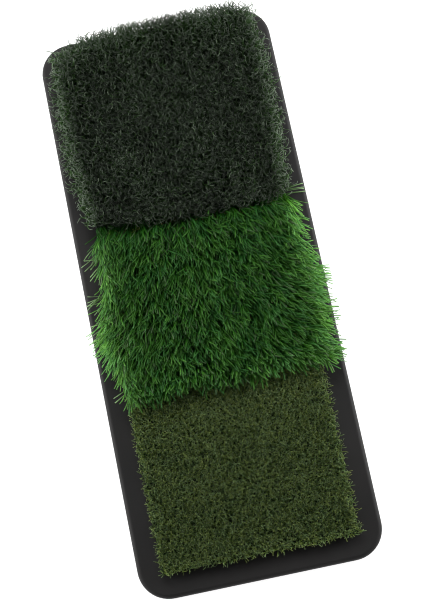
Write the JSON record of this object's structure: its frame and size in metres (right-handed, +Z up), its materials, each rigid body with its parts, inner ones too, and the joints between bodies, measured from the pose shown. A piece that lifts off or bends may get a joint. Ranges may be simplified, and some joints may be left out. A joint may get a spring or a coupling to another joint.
{
  "type": "golf hitting mat",
  "caption": "Portable golf practice mat: a flat rubber base with rounded corners, carrying short fairway turf, long rough turf and dense curled tee turf in a row.",
  "frame": {"origin": "centre of the mat's underside", "axes": "+X across the width, +Y along the length from the fairway turf towards the tee turf, +Z up"},
  "size_m": [0.25, 0.6, 0.0442],
  "materials": {
    "base_rubber": "matte",
    "turf_glue": "satin",
    "latex_backing": "matte",
    "woven_backing": "matte",
    "fairway_fibre": "matte",
    "thatch_yarn": "matte",
    "rough_blade": "satin",
    "tee_fibre": "matte"
  },
  "bodies": {
    "root": {"rubber_base": "base_rubber", "fairway_turf_adhesive": "turf_glue", "fairway_turf_secondary_backing": "latex_backing", "fairway_turf_primary_backing": "woven_backing", "fairway_turf_pile": "fairway_fibre", "rough_turf_adhesive": "turf_glue", "rough_turf_secondary_backing": "latex_backing", "rough_turf_primary_backing": "woven_backing", "rough_turf_thatch": "thatch_yarn", "rough_turf_blades": "rough_blade", "tee_turf_adhesive": "turf_glue", "tee_turf_secondary_backing": "latex_backing", "tee_turf_primary_backing": "woven_backing", "tee_turf_pile": "tee_fibre"}
  },
  "joints": []
}
